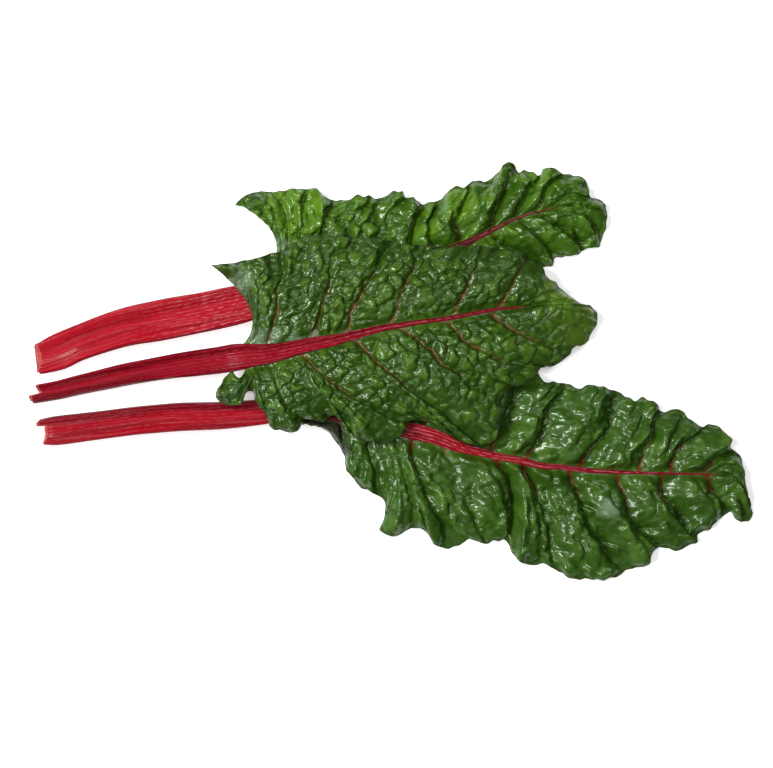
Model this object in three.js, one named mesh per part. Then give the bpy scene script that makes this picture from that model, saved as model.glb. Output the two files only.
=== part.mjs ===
// Bunch of three red-stemmed chard leaves lying on their backs on a flat surface.
// Two leaves lie side by side on the surface and the third lies across them.
// Millimetres, +Z up, +X from the cut stalks to the leaf tips, origin on the surface.
import * as THREE from 'three';

const BLADE_THICKNESS = 1.1;
const MIDRIB_GAP = 0.7; // clearance between a blade's inner edge and its midrib
const TIP_REACH = 4; // how far past the midrib's end the two blade halves join
const BLADE_ROWS = 10; // strips between midrib and margin
const COLUMN_LENGTH = 6.5; // longest step along the margin
const EDGE_HEIGHT = 0.82; // where the blade meets the stalk, as a share of the stalk's thickness
const QUILT_START = 0.2; // share of the way to the margin where the quilting is fully grown
const RUFFLE_POWER = 3; // how much the ruffle keeps to the margin

// Half of the stalk's section from the middle of its channel to its flat underside:
// distance from the centre as a share of half the width, height as a share of the thickness
const STALK_SECTION = [
  [0, 0.8], [0.42, 0.85], [0.8, 1], [1, 0.82], [0.93, 0.45], [0.68, 0.2], [0.36, 0.05], [0.14, 0],
];
const STALK_CORE = 0.4; // height of the section's middle point

// A stalk is a row of stations from the cut end to the end of the midrib:
// x, y, height of the underside, width, thickness.
// Its cut end is stepped: for places across the stalk, from -1 on the -Y side to 1, the table
// says how far along the stalk the cut lies.
// A blade half is a row of side veins from its base to the leaf tip: where the vein leaves the
// midrib (x), its middle (x, y), its end on the margin (x, y), the margin's points before the
// next vein, the height of the margin there, and how deep the blade is sunk along the vein (0 to 1).
const LEAVES = {
  upper: {
    crown: 3,
    quilt: 3.4,
    ruffle: 1.8,
    wave: 27,
    cut: [[-1, -1.9], [-0.75, -1.9], [-0.2, 1], [0.25, 2.6], [0.66, 2.1], [1, 1.2]],
    stalk: [
      [-211.5, 7, 0, 18, 8], [-199, 11.4, 0, 21.5, 9], [-187, 16.7, 0, 21, 10], [-163, 25.1, 0, 22.8, 10.5],
      [-139, 30.2, 0, 24.5, 10.5], [-115, 34.7, 0, 24, 10.5], [-91, 39.8, 0, 23, 10], [-67, 45, 0, 18, 9],
      [-43, 51, 0, 13, 8], [-19, 57.5, 0, 8.5, 6.5], [5, 65.5, 0.5, 5.5, 5.2], [23, 70, 1.5, 4, 4.4],
      [38, 74, 2.5, 4, 3.8], [53, 80.5, 3.5, 3.4, 3.4], [65, 86.5, 4, 2.4, 3], [77, 92, 4.5, 1.6, 2.6],
      [89, 95.5, 4.5, 1.2, 2.2], [101, 98, 4, 0.9, 1.6],
    ],
    far: [
      [-75.5, [-69.5, 79], [-94, 99.5], [[-91.5, 102.5], [-86, 105.5]], 5, 0],
      [-71.5, [-65, 81], [-80.5, 107], [[-75, 108]], 4, 0.5],
      [-64, [-59.5, 80], [-70, 107], [[-64, 108.5], [-58, 109]], 3, 1],
      [-52, [-49, 80], [-52.5, 108.5], [[-46, 109], [-41, 105.5]], 2, 0.6],
      [-37, [-32, 78.5], [-32.5, 102], [[-26, 102.5], [-22, 104.5], [-15.5, 105]], 3, 1],
      [-19, [-13, 80], [-10.5, 104], [[-3.5, 105], [1.5, 107.5], [6.5, 107]], 2, 1],
      [-4, [4, 81], [8.5, 103], [[12.5, 104], [15.5, 102.5]], 3, 0.7],
      [12.5, [17, 86], [19, 99.5], [[23.5, 101]], 2, 1],
      [23, [29, 87.5], [28.5, 102], [[32.5, 107], [37.5, 110], [43.5, 110.5], [47.5, 113.5]], 3, 1],
      [40, [48.5, 95], [53, 113.5], [[59, 115], [64, 119], [67.5, 124], [73, 123.5]], 4, 1],
      [59, [68, 102.5], [76.5, 119.5], [[79.5, 121], [83, 119]], 3, 1],
      [73, [81.5, 104.5], [89, 118], [[91.5, 122], [98.5, 121.5]], 2, 0.8],
      [85, [95, 107.5], [103, 118.5], [[109, 117.5], [114.5, 116.5], [117.5, 111]], 3, 1],
      [95, [106.5, 104.5], [118.5, 104.5], [[124.5, 103], [127.5, 100]], 2, 0.5],
      [101, [115, 99], [129.5, 95.5], [], 1.2, 0],
    ],
    near: [
      [-70, [-65, 32], [-61, 30], [[-52, 27.5], [-41.5, 26]], 5, 0],
      [-47.5, [-37, 38], [-28, 25], [[-13, 25]], 3, 0.5],
      [-23.5, [-10.5, 42.5], [4, 27], [[17, 29.5]], 2, 1],
      [2, [17, 49], [31.5, 33], [[43, 37]], 2, 1],
      [24.5, [38.5, 58], [53.5, 42], [[62, 47.5]], 2, 1],
      [42.5, [56, 65.5], [70, 54], [[77, 60.5]], 2, 0.6],
      [58, [71, 73], [83.5, 64], [[89.5, 62], [94.5, 62.5], [97.5, 65.5]], 2, 1],
      [75.5, [89, 80.5], [100, 68.5], [[106, 68.5], [110.5, 70]], 2, 0.6],
      [86, [103, 86], [116, 72.5], [[123.5, 74], [125, 78]], 1.2, 1],
      [96, [112.5, 93], [127.5, 84], [[128.5, 90]], 2, 0.5],
      [101, [115, 99], [129.5, 95.5], [], 1.2, 0],
    ],
  },
  middle: {
    crown: 4.6,
    quilt: 3.2,
    ruffle: 1.4,
    wave: 23,
    cut: [[-1, -1.8], [-0.14, -2.7], [0, 3.7], [1, 3]],
    stalk: [
      [-213.5, -14, 0, 11.5, 8], [-199, -11.5, 0, 11.5, 8.5], [-187, -8.5, 0, 12, 9],
      [-175, -5.8, 0, 12.8, 9], [-151, -0.8, 0, 13.9, 9.5], [-127, 3.2, 0.5, 14.9, 9.5],
      [-103, 6.5, 2, 16, 9.5], [-91, 8.5, 4, 16, 9.5], [-74, 10, 7, 12, 9], [-55, 14, 10, 9, 8],
      [-43, 16.5, 11.5, 8, 7], [-31, 19, 12.5, 6.5, 6], [-19, 22, 13.5, 5, 5], [-7, 25, 14.2, 4, 4.3],
      [5, 27, 14.6, 3.3, 3.8], [17, 29, 14.8, 3, 3.4], [29, 30.5, 14.8, 2.7, 3],
      [41, 32.5, 14.6, 2.5, 2.8], [53, 35, 14, 2.3, 2.4], [65, 37, 13.2, 1.8, 2],
      [81.5, 38, 12, 1, 1.4],
    ],
    far: [
      [-87.5, [-84.2, 37], [-107, 62.5], [[-98, 64]], 16, 0],
      [-81, [-77, 44], [-87, 66], [[-76, 68.5]], 16, 0],
      [-74, [-66.5, 41.5], [-65.5, 71], [[-59, 75], [-52, 79], [-40, 80.5]], 15, 1],
      [-47.5, [-38, 47.5], [-26.5, 80], [[-19, 79], [-9.5, 78.5]], 15, 1],
      [-26.5, [-16.5, 48.5], [-0.5, 77.5], [[7.5, 75.5]], 14.5, 1],
      [-0.5, [8, 51.5], [17.5, 74.5], [[26.5, 74.5], [36.5, 74], [46.5, 74.5]], 14.5, 1],
      [36.5, [45.5, 54], [56, 74], [[63.5, 73], [71, 71.5], [77.5, 70.5]], 14, 1],
      [64, [73.5, 53.5], [83.5, 67], [[88.5, 63], [92, 57.5], [96.5, 53.5]], 14, 1],
      [74, [89.5, 45], [102.5, 48.5], [[108.5, 43]], 10, 0.5],
      [78.5, [98, 41], [113, 40.5], [[119, 39], [122.5, 36]], 7, 0.5],
      [81.5, [103.5, 38], [124, 30.5], [], 5, 0],
    ],
    near: [
      [-86.5, [-89.6, -4], [-94.2, 0.3], [[-97.2, -1.6], [-100.8, -6.3], [-103.9, -11.5], [-104, -17]], 15, 0],
      [-83.5, [-87.3, -10.6], [-97.5, -20.2], [[-90.5, -20.2], [-88.4, -18.4], [-87.4, -14.6]], 14, 0],
      [-80.2, [-82, -5], [-85.2, -11.4], [[-83, -12], [-81.8, -15.5], [-80, -20]], 14, 0],
      [-77.5, [-76.5, -12], [-75, -25],
        [[-72.5, -32.5], [-67, -35.5], [-59.5, -36.5], [-54.5, -33.5]], 14, 0.5],
      [-74, [-64, -14], [-52, -29.5], [[-46, -29.5], [-40, -30.5], [-37, -28.5]], 14, 0.3],
      [-63.5, [-47, -9], [-34.2, -27],
        [[-30.5, -29.5], [-26.5, -35.5], [-20.5, -40], [-12.5, -42], [-1, -42], [6.5, -39]], 14, 0],
      [-54.5, [-26.5, -13], [9.5, -31], [[14.5, -29.5], [24.5, -31]], 14, 1],
      [-38, [-1, -8.5], [32, -36], [[40, -41.5], [47, -44]], 14, 0],
      [-23, [12.5, -11], [54.5, -45], [[60.5, -42], [64, -36], [65, -27]], 14, 1],
      [5.5, [35, 1], [65, -17], [[69.5, -11], [77, -8.5], [84.5, -5]], 14, 1],
      [32.5, [56.5, 9], [88, 1], [[90.5, 2.5], [95, 2.5], [101, 6], [106, 10]], 13, 1],
      [58, [83, 19], [110.5, 15], [[115, 16], [119, 21.5], [122.5, 26]], 8, 1],
      [81.5, [103.5, 38], [124, 30.5], [], 5, 0],
    ],
  },
  lower: {
    crown: 2.6,
    quilt: 4.6,
    ruffle: 2.2,
    wave: 31,
    cut: [[-1, 1.1], [-0.74, 1], [-0.56, 2.4], [0.42, 3.1], [0.46, -1.9], [0.88, -1.1], [1, 2]],
    stalk: [
      [-209.5, -36.4, 0, 16.2, 8], [-199, -35.3, 0, 17.8, 9], [-175, -32.3, 0, 17.4, 9.5],
      [-151, -29.3, 0, 17.4, 10], [-127, -27.3, 0, 17.4, 10], [-103, -26.5, 0, 17, 9.5],
      [-79, -24.5, 0, 15.5, 9], [-55, -22, 0, 14, 8.5], [-31, -24, 0, 12.5, 8], [-7, -30, 0, 11.5, 8],
      [8, -35, 0, 10, 7.5], [17, -37, 0, 10, 7.2], [29, -40.5, 0, 9, 6.8], [41, -45.5, 0.3, 7, 6.2],
      [53, -48.5, 0.6, 5.5, 5.6], [65, -51.5, 1, 4.5, 5], [77, -53.5, 1.5, 4.5, 4.6],
      [89, -56.5, 2, 4, 4.2], [101, -57.5, 2.2, 3.6, 3.8], [113, -59, 2.4, 3.3, 3.4],
      [125, -60, 2.6, 2.8, 3], [149, -61, 2.8, 1.9, 2.4], [173, -61.5, 3, 1.4, 1.8],
      [196, -62, 3, 1, 1.2],
    ],
    far: [
      [-28, [-28, -14.5], [-25, -8], [[-16, -5.5]], 5, 0],
      [-7, [-2, -15], [2, -3.5], [[12.5, -2]], 3, 0.6],
      [17, [22, -18.5], [28, -0.5], [[40, 0]], 2, 1],
      [38, [46, -23.5], [54.5, 0.5], [[68, 0]], 2, 1],
      [57.5, [70.5, -29.5], [82.5, -0.5], [[87.5, 0], [89.5, -4], [92.5, -7.5], [98, -6.5]], 2, 1],
      [80, [91.5, -32], [103, -8], [[107.5, -8], [113, -10], [119, -8.5], [126.5, -9]], 3, 1],
      [111.5, [127.5, -36.5], [137, -14],
        [[142, -15.5], [145.5, -17.5], [150.5, -15.5], [155, -17.5], [159.5, -20]], 2, 1],
      [147.5, [155, -44], [161.5, -24], [[168.5, -23], [174.5, -24.5], [179.5, -29.5]], 3, 1],
      [167, [173.5, -45], [185, -34], [[190.5, -32.5], [196, -34], [201.5, -38.5], [203.5, -43]], 2, 1],
      [186, [195.5, -52.5], [205, -47.5], [[209.5, -51], [211, -57]], 3, 0.8],
      [191.5, [203, -55.5], [211.5, -63.5], [[212.5, -69], [214, -76]], 2, 0.5],
      [196, [208, -67], [216.5, -84.5], [], 1.2, 0],
    ],
    near: [
      [-54, [-54, -30.5], [-54, -31.5], [[-48.5, -32.3]], 6, 0],
      [-44, [-43.3, -31.8], [-42.5, -33.8], [[-37.5, -37], [-33, -42.5]], 6, 0],
      [-31.5, [-29, -39.5], [-28.5, -51], [[-27.5, -57], [-24.5, -63.5], [-18, -69.5]], 3, 0.4],
      [-13, [-11.5, -55], [-8.5, -74], [[-4.8, -77.3]], 2, 0.5],
      [-9, [-2.5, -57], [-3.7, -82], [[-4.8, -89]], 2, 0],
      [-5, [3, -66], [-7, -95], [[-3.5, -98.5], [2.5, -99], [8, -97]], 2, 0],
      [2, [9, -67], [12.5, -94],
        [[17.5, -94.5], [22, -98], [25.5, -104], [30.5, -106.5], [35, -106]], 2, 0.6],
      [13, [19, -70], [40, -104.5], [[44.5, -101.5], [50.5, -102]], 3, 1],
      [32, [43.5, -77.5], [56, -103.5], [[62, -102], [67, -101]], 2, 0.5],
      [62, [71, -75], [70, -104], [[73, -109], [77.5, -113.5], [85.5, -116]], 3, 1],
      [77.5, [88.5, -80], [94, -116],
        [[101, -121], [107.5, -124.5], [117.5, -125], [126.5, -125.5], [134.5, -122.5]], 2, 1],
      [106.5, [118, -89], [142.5, -119], [[149, -118], [154, -115], [157, -109]], 3, 1],
      [135.5, [147, -89], [160.5, -105.5],
        [[166, -106.5], [170.5, -107.5], [177.5, -105], [182, -103]], 2, 1],
      [161, [169.5, -82.5], [184, -98.5], [[188.5, -95.5], [194.5, -91], [199.5, -86.5]], 3, 1],
      [188, [197, -74], [203.5, -85], [[206, -89], [210.5, -90], [214, -90.5], [215.5, -88]], 2, 1],
      [196, [208, -67], [216.5, -84.5], [], 1.2, 0],
    ],
  },
};

const lerp = THREE.MathUtils.lerp;
const smoothCurve = (points) => new THREE.CatmullRomCurve3(points, false, 'catmullrom', 0.5);

// The place along a curve through listed points, where place 2.5 is halfway from point 2 to point 3
const atPlace = (curve, place) => curve.getPoint(place / (curve.points.length - 1));

// Reads a table of [position, value] rows, straight between the rows
function readTable(table, position) {
  const next = Math.max(1, table.findIndex((row) => row[0] >= position));
  const [before, after] = [table[next - 1], table[next]];
  return lerp(before[1], after[1], (position - before[0]) / (after[0] - before[0]));
}

// The stalk's centre line, straight from station to station, with its width and thickness
function makeStalkLine(stations) {
  const centres = stations.map(([x, y, underside]) => new THREE.Vector3(x, y, underside));
  const last = stations.length - 1;
  const alongs = centres.map((centre, i) => {
    const ahead = centres[Math.min(i + 1, last)].clone();
    return ahead.sub(centres[Math.max(i - 1, 0)]).setZ(0).normalize();
  });
  const sample = (place) => {
    const before = Math.min(Math.floor(place), last - 1);
    const share = place - before;
    const along = alongs[before].clone().lerp(alongs[before + 1], share);
    return {
      middle: centres[before].clone().lerp(centres[before + 1], share),
      along,
      side: new THREE.Vector3(-along.y, along.x, 0),
      halfWidth: lerp(stations[before][3], stations[before + 1][3], share) / 2,
      thickness: lerp(stations[before][4], stations[before + 1][4], share),
    };
  };
  const places = stations.map((station, i) => [station[0], i]);
  const placeOf = (x) => readTable(places, x);
  return { sample, placeOf, last };
}

// Solid stalk: a cylinder whose rings take the channelled section, one at each station
function makeStalk(line, cut) {
  const mirrored = STALK_SECTION.slice(1).reverse().map(([across, up]) => [-across, up]);
  const section = [...STALK_SECTION, ...mirrored];
  const geometry = new THREE.CylinderGeometry(1, 1, 1, section.length, line.last, false);
  const position = geometry.attributes.position;
  for (let i = 0; i < position.count; i += 1) {
    const isCapCentre = Math.hypot(position.getX(i), position.getZ(i)) < 0.5;
    const turn = Math.atan2(position.getX(i), position.getZ(i)) / (2 * Math.PI);
    const corner = (Math.round(turn * section.length) + section.length) % section.length;
    const [across, up] = isCapCentre ? [0, STALK_CORE] : section[corner];
    const place = Math.round((position.getY(i) + 0.5) * line.last);
    const { middle, side, along, halfWidth, thickness } = line.sample(place);
    const point = middle.addScaledVector(side, -across * halfWidth);
    if (place === 0) {
      point.addScaledVector(along, readTable(cut, -across));
    }
    position.setXYZ(i, point.x, point.y, point.z + up * thickness);
  }
  return geometry;
}

// How far the next vein is along the margin
function spanLength(points, first, last) {
  let length = 0;
  for (let i = first; i < last; i += 1) {
    length += Math.hypot(points[i + 1][0] - points[i][0], points[i + 1][1] - points[i][1]);
  }
  return length;
}

// Round valley: 1 on the vein and 0 from halfway to the next vein
const valleyAt = (share) => (share < 0.5 ? Math.cos(Math.PI * share) ** 2 : 0);

// One blade half as columns from its base to the leaf tip, each a vein or a line between two veins
function makeColumns(leaf, line, rows, hand) {
  const veins = rows.map(([root, middle, end, between, height, valley]) => (
    { root, middle, end, between, height, valley }));
  const marginPoints = [];
  for (const vein of veins) {
    vein.place = marginPoints.length;
    marginPoints.push(vein.end, ...vein.between);
  }
  const margin = smoothCurve(marginPoints.map(([x, y]) => new THREE.Vector3(x, y, 0)));
  const middles = smoothCurve(veins.map(({ middle: [x, y] }) => new THREE.Vector3(x, y, 0)));
  const columns = [];
  let walked = 0;
  let previous = margin.points[0];
  veins.forEach((vein, i) => {
    const isTip = i === veins.length - 1;
    const next = isTip ? vein : veins[i + 1];
    const span = spanLength(marginPoints, vein.place, next.place);
    const steps = isTip ? 1 : Math.max(2, Math.ceil(span / COLUMN_LENGTH));
    for (let step = 0; step < steps; step += 1) {
      const share = step / steps;
      const root = lerp(vein.root, next.root, share);
      const { middle, side, along, halfWidth, thickness } = line.sample(line.placeOf(root));
      const inner = middle.setZ(middle.z + thickness * EDGE_HEIGHT);
      if (isTip) {
        inner.addScaledVector(along, TIP_REACH);
      } else {
        inner.addScaledVector(side, hand * (halfWidth + MIDRIB_GAP));
      }
      const edge = atPlace(margin, lerp(vein.place, next.place, share));
      walked += edge.distanceTo(previous);
      previous = edge;
      columns.push({
        inner,
        middle: atPlace(middles, i + share),
        edge: edge.clone().setZ(lerp(vein.height, next.height, share)),
        ridge: 1 - vein.valley * valleyAt(share) - next.valley * valleyAt(1 - share),
        ruffle: Math.sin((2 * Math.PI * walked) / leaf.wave),
      });
    }
  });
  return columns;
}

// The blade's upper face: it bulges between midrib and margin, stands in quilted ridges
// between the side veins and ruffles towards the margin
function bladePoint(leaf, column, share) {
  const { inner, middle, edge, ridge, ruffle } = column;
  const bulge = Math.sin(Math.PI * share);
  const weights = [(1 - share) * (1 - 2 * share), 4 * share * (1 - share), share * (2 * share - 1)];
  const x = weights[0] * inner.x + weights[1] * middle.x + weights[2] * edge.x;
  const y = weights[0] * inner.y + weights[1] * middle.y + weights[2] * edge.y;
  const quilt = leaf.quilt * (ridge - 0.5) * Math.min(1, share / QUILT_START);
  const wave = leaf.ruffle * ruffle * share ** RUFFLE_POWER;
  const height = lerp(inner.z, edge.z, share) + leaf.crown * bulge + quilt + wave;
  return new THREE.Vector3(x, y, Math.max(BLADE_THICKNESS, height));
}

// Solid blade: an upper face, a lower face split into the same triangles, and a rim between them
function makeBlade(leaf, line) {
  const far = makeColumns(leaf, line, leaf.far, 1);
  const near = makeColumns(leaf, line, leaf.near, -1);
  const columns = [...far, ...near.slice(0, -1).reverse()];
  const across = columns.length;
  const down = BLADE_ROWS + 1;
  const face = new THREE.PlaneGeometry(1, 1, across - 1, BLADE_ROWS);
  const upper = [];
  for (let row = 0; row < down; row += 1) {
    columns.forEach((column) => upper.push(bladePoint(leaf, column, 1 - row / BLADE_ROWS)));
  }
  const lower = upper.map((point) => new THREE.Vector3(point.x, point.y, point.z - BLADE_THICKNESS));
  const below = upper.length;
  const faceIndex = Array.from(face.index.array);
  const triangles = [...faceIndex];
  for (let i = 0; i < faceIndex.length; i += 3) {
    triangles.push(faceIndex[i] + below, faceIndex[i + 2] + below, faceIndex[i + 1] + below);
  }
  const rim = rimOf(across, down);
  rim.forEach((corner, i) => {
    const next = rim[(i + 1) % rim.length];
    triangles.push(corner, next + below, next);
    triangles.push(corner, corner + below, next + below);
  });
  const geometry = new THREE.BufferGeometry().setFromPoints([...upper, ...lower]);
  geometry.setIndex(triangles);
  return geometry;
}

// The corners round a grid's border, in the order that keeps the grid on the left
function rimOf(across, down) {
  const rim = [];
  for (let row = 0; row < down - 1; row += 1) {
    rim.push(row * across);
  }
  for (let column = 0; column < across - 1; column += 1) {
    rim.push((down - 1) * across + column);
  }
  for (let row = down - 1; row > 0; row -= 1) {
    rim.push(row * across + across - 1);
  }
  for (let column = across - 1; column > 0; column -= 1) {
    rim.push(column);
  }
  return rim;
}

function addPiece(group, name, geometry, color, roughness) {
  const material = new THREE.MeshStandardMaterial({ color, roughness, metalness: 0 });
  const mesh = new THREE.Mesh(geometry, material);
  mesh.name = name;
  group.add(mesh);
}

const group = new THREE.Group();
const STALK_COLOURS = { upper: 0xbf5359, middle: 0x8c1e2a, lower: 0xa43940 };
const BLADE_COLOURS = { upper: 0x517030, middle: 0x455e2a, lower: 0x4b6535 };
for (const [place, leaf] of Object.entries(LEAVES)) {
  const line = makeStalkLine(leaf.stalk);
  addPiece(group, `${place}_leaf_stalk`, makeStalk(line, leaf.cut), STALK_COLOURS[place], 0.35);
  addPiece(group, `${place}_leaf_blade`, makeBlade(leaf, line), BLADE_COLOURS[place], 0.45);
}

export default group;
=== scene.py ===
# %% [markdown]
# # A bunch of red chard, built leaf by leaf
# Three whole leaves lie on a pale table: two side by side and one across them. Each leaf is a
# thick red stalk that runs on as the midrib, and a thin crinkled blade that grows from its sides.
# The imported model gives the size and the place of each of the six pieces, and this script puts a
# finely made piece in the place of each.

import bmesh
import bpy
import numpy as np
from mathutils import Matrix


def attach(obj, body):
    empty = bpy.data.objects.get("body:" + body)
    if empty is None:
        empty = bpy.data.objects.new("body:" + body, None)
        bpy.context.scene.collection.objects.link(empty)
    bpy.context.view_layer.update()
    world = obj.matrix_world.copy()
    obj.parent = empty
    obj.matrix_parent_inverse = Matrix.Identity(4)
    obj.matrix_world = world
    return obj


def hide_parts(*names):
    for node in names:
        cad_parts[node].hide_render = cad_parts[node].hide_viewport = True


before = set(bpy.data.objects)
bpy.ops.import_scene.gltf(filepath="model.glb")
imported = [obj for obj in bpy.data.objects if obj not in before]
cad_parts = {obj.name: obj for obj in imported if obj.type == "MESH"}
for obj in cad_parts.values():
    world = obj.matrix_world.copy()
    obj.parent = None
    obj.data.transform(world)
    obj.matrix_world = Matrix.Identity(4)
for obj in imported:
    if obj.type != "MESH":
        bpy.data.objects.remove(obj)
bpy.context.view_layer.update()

MM = 0.001
print("frame nodes:", sorted(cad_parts))

# %% [markdown]
# ## The camera, the table and the light
# The leaves are looked at from straight above, as food on a white table usually is. A long lens
# far away keeps the stalks parallel. Two small bright lamps on the stalks' side draw the crisp
# glints of a wet leaf, and a wide soft one fills the hollows.

# %% Camera
VIEW_WIDTH = 463.8 * MM
VIEW_CENTRE = (-3.0 * MM, -7.8 * MM)
CAMERA_HEIGHT = 1.7
SENSOR = 36.0


def add_camera():
    data = bpy.data.cameras.new("camera")
    data.sensor_width = SENSOR
    data.lens = SENSOR * CAMERA_HEIGHT / VIEW_WIDTH
    camera = bpy.data.objects.new("camera", data)
    camera.location = (*VIEW_CENTRE, CAMERA_HEIGHT)
    bpy.context.scene.collection.objects.link(camera)
    bpy.context.scene.camera = camera
    print("camera lens, mm:", round(data.lens, 1))


add_camera()

# %% Table, lamps and surroundings
TABLE_SIZE = 6.0
TABLE_DROP = 0.2 * MM
TABLE_WHITE = (0.93, 0.93, 0.93, 1)
TABLE_GLOW = 0.43
SURROUNDINGS_STRENGTH = 0.13
# Place in metres, diameter and power of each lamp.
LAMPS = {
    "key_lamp": ((-0.85, 0.45, 1.1), 0.4, 16),
    "side_lamp": ((-0.85, -0.45, 1.15), 0.4, 10.5),
    "soft_lamp": ((0.25, 0.5, 1.7), 1.0, 10.5),
}


def add_table():
    bm = bmesh.new()
    bmesh.ops.create_grid(bm, x_segments=1, y_segments=1, size=TABLE_SIZE / 2)
    bmesh.ops.translate(bm, verts=bm.verts, vec=(0, 0, -TABLE_DROP))
    mesh = bpy.data.meshes.new("table")
    bm.to_mesh(mesh)
    bm.free()
    table = bpy.data.objects.new("table", mesh)
    bpy.context.scene.collection.objects.link(table)
    material = bpy.data.materials.new("table_white")
    material.use_nodes = True
    shader = material.node_tree.nodes["Principled BSDF"]
    shader.inputs["Base Color"].default_value = TABLE_WHITE
    shader.inputs["Roughness"].default_value = 0.9
    shader.inputs["Specular IOR Level"].default_value = 0.1
    shader.inputs["Emission Color"].default_value = (1, 1, 1, 1)
    shader.inputs["Emission Strength"].default_value = TABLE_GLOW
    mesh.materials.append(material)


def add_lamp(name, place, size, power):
    data = bpy.data.lights.new(name, "AREA")
    data.shape = "DISK"
    data.size = size
    data.energy = power
    lamp = bpy.data.objects.new(name, data)
    lamp.location = place
    lamp.rotation_euler = (-lamp.location).to_track_quat("-Z", "Y").to_euler()
    bpy.context.scene.collection.objects.link(lamp)


def set_surroundings(strength):
    world = bpy.data.worlds.new("studio")
    world.use_nodes = True
    world.node_tree.nodes["Background"].inputs["Color"].default_value = (1, 1, 1, 1)
    world.node_tree.nodes["Background"].inputs["Strength"].default_value = strength
    bpy.context.scene.world = world
    bpy.context.scene.view_settings.view_transform = "Standard"


add_table()
for lamp_name, (place, size, power) in LAMPS.items():
    add_lamp(lamp_name, place, size, power)
set_surroundings(SURROUNDINGS_STRENGTH)
print("stage: a table and", len(LAMPS), "lamps")

# %% [markdown]
# ## The pattern of a leaf
# A leaf is written down as a gardener would draw it: the stalk as stations from the cut end to
# the end of the midrib, and each half of the blade as its side veins from the base to the tip.
# A vein says where it leaves the midrib, where its middle is and where it ends on the margin, and
# it carries the margin's turns up to the next vein. Everything else grows from these few lines,
# so a vein that moves takes its ridges, blisters and colour with it.

# %% Leaf patterns, in millimetres
# Cut: how far along the stalk the cut lies, for places across it from -1 to 1.
# Stalk: x, y, height of the underside, width, thickness.
# Vein: x on the midrib, middle, end on the margin, margin up to the next vein, margin's height,
# and how deep the blade is sunk along the vein, from 0 to 1.
UPPER = {
    "cut": [(-1, -1.9), (-0.75, -1.9), (-0.2, 1), (0.25, 2.6), (0.66, 2.1), (1, 1.2)],
    "stalk": [
        (-211.5, 7, 0, 18, 8), (-199, 11.4, 0, 21.5, 9), (-187, 16.7, 0, 21, 10),
        (-163, 25.1, 0, 22.8, 10.5), (-139, 30.2, 0, 24.5, 10.5), (-115, 34.7, 0, 24, 10.5),
        (-91, 39.8, 0, 23, 10), (-67, 45, 0, 18, 9), (-43, 51, 0, 13, 8), (-19, 57.5, 0, 8.5, 6.5),
        (5, 65.5, 0.5, 5.5, 5.2), (23, 70, 1.5, 4, 4.4), (38, 74, 2.5, 4, 3.8),
        (53, 80.5, 3.5, 3.4, 3.4), (65, 86.5, 4, 2.4, 3), (77, 92, 4.5, 1.6, 2.6),
        (89, 95.5, 4.5, 1.2, 2.2), (101, 98, 4, 0.9, 1.6),
    ],
    "far": [
        (-75.5, (-69.5, 79), (-94, 99.5), [(-91.5, 102.5), (-86, 105.5)], 5, 0),
        (-71.5, (-65, 81), (-80.5, 107), [(-75, 108)], 4, 0.5),
        (-64, (-59.5, 80), (-70, 107), [(-64, 108.5), (-58, 109)], 3, 1),
        (-52, (-49, 80), (-52.5, 108.5), [(-46, 109), (-41, 105.5)], 2, 0.6),
        (-37, (-32, 78.5), (-32.5, 102), [(-26, 102.5), (-22, 104.5), (-15.5, 105)], 3, 1),
        (-19, (-13, 80), (-10.5, 104), [(-3.5, 105), (1.5, 107.5), (6.5, 107)], 2, 1),
        (-4, (4, 81), (8.5, 103), [(12.5, 104), (15.5, 102.5)], 3, 0.7),
        (12.5, (17, 86), (19, 99.5), [(23.5, 101)], 2, 1),
        (23, (29, 87.5), (28.5, 102), [(32.5, 107), (37.5, 110), (43.5, 110.5), (47.5, 113.5)], 3, 1),
        (40, (48.5, 95), (53, 113.5), [(59, 115), (64, 119), (67.5, 124), (73, 123.5)], 4, 1),
        (59, (68, 102.5), (76.5, 119.5), [(79.5, 121), (83, 119)], 3, 1),
        (73, (81.5, 104.5), (89, 118), [(91.5, 122), (98.5, 121.5)], 2, 0.8),
        (85, (95, 107.5), (103, 118.5), [(109, 117.5), (114.5, 116.5), (117.5, 111)], 3, 1),
        (95, (106.5, 104.5), (118.5, 104.5), [(124.5, 103), (127.5, 100)], 2, 0.5),
        (101, (115, 99), (129.5, 95.5), [], 1.2, 0),
    ],
    "near": [
        (-70, (-65, 32), (-61, 30), [(-52, 27.5), (-41.5, 26)], 5, 0),
        (-47.5, (-37, 38), (-28, 25), [(-13, 25)], 3, 0.5),
        (-23.5, (-10.5, 42.5), (4, 27), [(17, 29.5)], 2, 1),
        (2, (17, 49), (31.5, 33), [(43, 37)], 2, 1),
        (24.5, (38.5, 58), (53.5, 42), [(62, 47.5)], 2, 1),
        (42.5, (56, 65.5), (70, 54), [(77, 60.5)], 2, 0.6),
        (58, (71, 73), (83.5, 64), [(89.5, 62), (94.5, 62.5), (97.5, 65.5)], 2, 1),
        (75.5, (89, 80.5), (100, 68.5), [(106, 68.5), (110.5, 70)], 2, 0.6),
        (86, (103, 86), (116, 72.5), [(123.5, 74), (125, 78)], 1.2, 1),
        (96, (112.5, 93), (127.5, 84), [(128.5, 90)], 2, 0.5),
        (101, (115, 99), (129.5, 95.5), [], 1.2, 0),
    ],
}
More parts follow.
